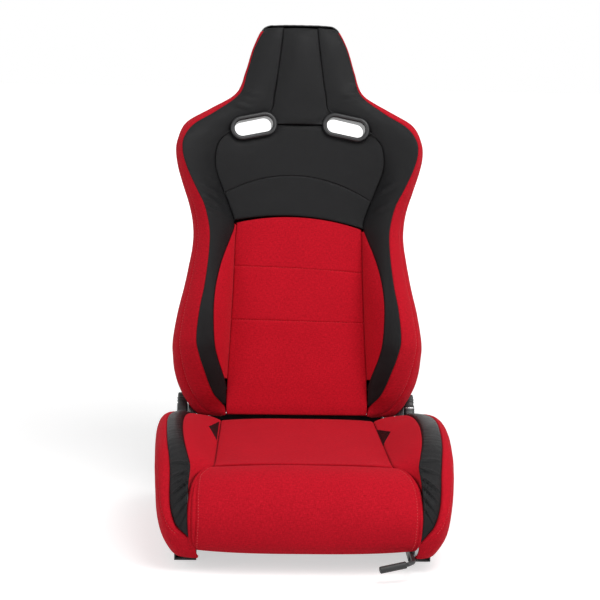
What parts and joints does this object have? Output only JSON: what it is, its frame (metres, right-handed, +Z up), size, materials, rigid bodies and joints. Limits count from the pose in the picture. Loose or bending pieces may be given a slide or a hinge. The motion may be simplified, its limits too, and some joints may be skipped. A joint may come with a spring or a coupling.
{
  "type": "racing seat",
  "caption": "Reclining cloth and vinyl bucket seat with bolstered back, harness openings, slide rails and a front release handle.",
  "frame": {"origin": "centre of the seat's bounding box in plan, on the floor under the rails", "axes": "+Z up, the seat faces -Y, +X to the right as seen from in front of the seat"},
  "size_m": [0.554, 0.7524, 0.9268],
  "materials": {
    "red_cloth": "matte woven cloth over foam",
    "black_vinyl": "fine grained synthetic leather, low sheen",
    "black_plastic": "moulded, satin",
    "black_steel": "black powder coat",
    "zinc_steel": "zinc plated",
    "webbing": "woven elastic webbing",
    "grip_rubber": "smooth dark grey"
  },
  "bodies": {
    "floor_rails": {"lower_rail_left": "black_steel", "lower_rail_right": "black_steel"},
    "seat_base": {"front_cross_tube": "black_steel", "front_roll": "red_cloth", "rail_bolt_front_left": "zinc_steel", "rail_bolt_front_right": "zinc_steel", "rail_bolt_rear_left": "zinc_steel", "rail_bolt_rear_right": "zinc_steel", "rear_cross_tube": "black_steel", "recliner_boss_left": "black_steel", "recliner_boss_right": "black_steel", "rod_bearing_1": "black_steel", "rod_bearing_2": "black_steel", "seat_insert": "red_cloth", "seat_strap_1": "webbing", "seat_strap_2": "webbing", "seat_strap_3": "webbing", "side_frame_left": "black_steel", "side_frame_right": "black_steel", "thigh_flank_left": "red_cloth", "thigh_flank_right": "red_cloth", "thigh_slope_left": "red_cloth", "thigh_slope_right": "red_cloth", "thigh_strip_left": "black_vinyl", "thigh_strip_right": "black_vinyl", "upper_rail_left": "zinc_steel", "upper_rail_right": "zinc_steel"},
    "slider_handle": {"latch_dog": "black_steel", "slider_grip": "grip_rubber", "slider_rod": "black_steel"},
    "backrest": {"back_cover": "black_vinyl", "back_flank_left": "red_cloth", "back_flank_right": "red_cloth", "back_hoop": "black_steel", "back_insert": "red_cloth", "back_lower_tube": "black_steel", "back_skirt": "black_vinyl", "back_strap_1": "webbing", "back_strap_2": "webbing", "back_strap_3": "webbing", "chest_pad": "black_vinyl", "front_bezel_left": "black_plastic", "front_bezel_right": "black_plastic", "head_cap": "black_vinyl", "head_pad": "black_vinyl", "inner_bolster_left": "red_cloth", "inner_bolster_right": "red_cloth", "rear_bezel_left": "black_plastic", "rear_bezel_right": "black_plastic", "recliner_arm_left": "black_steel", "recliner_arm_right": "black_steel", "side_panel_left": "black_vinyl", "side_panel_right": "black_vinyl"},
    "recliner_release": {"recliner_lever_left": "black_plastic", "recliner_lever_right": "black_plastic", "release_rod": "zinc_steel"}
  },
  "joints": [
    {"name": "seat_slide", "type": "slide", "parent": "floor_rails", "child": "seat_base", "axis": [0, 1, 0], "range_m": [-0.09, 0.09]},
    {"name": "handle_lift", "type": "hinge", "parent": "seat_base", "child": "slider_handle", "pos_m": [0.19, -0.2496, 0.0362], "axis": [0, 1, 0], "range_deg": [0, 18], "stiffness_Nm_per_rad": 1.2, "springref_deg": -11.46},
    {"name": "recline", "type": "hinge", "parent": "seat_base", "child": "backrest", "pos_m": [0, 0.1554, 0.145], "axis": [1, 0, 0], "range_deg": [-50, 25]},
    {"name": "lever_pull", "type": "hinge", "parent": "backrest", "child": "recliner_release", "pos_m": [0, 0.1554, 0.145], "axis": [1, 0, 0], "range_deg": [-20, 0], "stiffness_Nm_per_rad": 1.5, "springref_deg": 11.46}
  ]
}
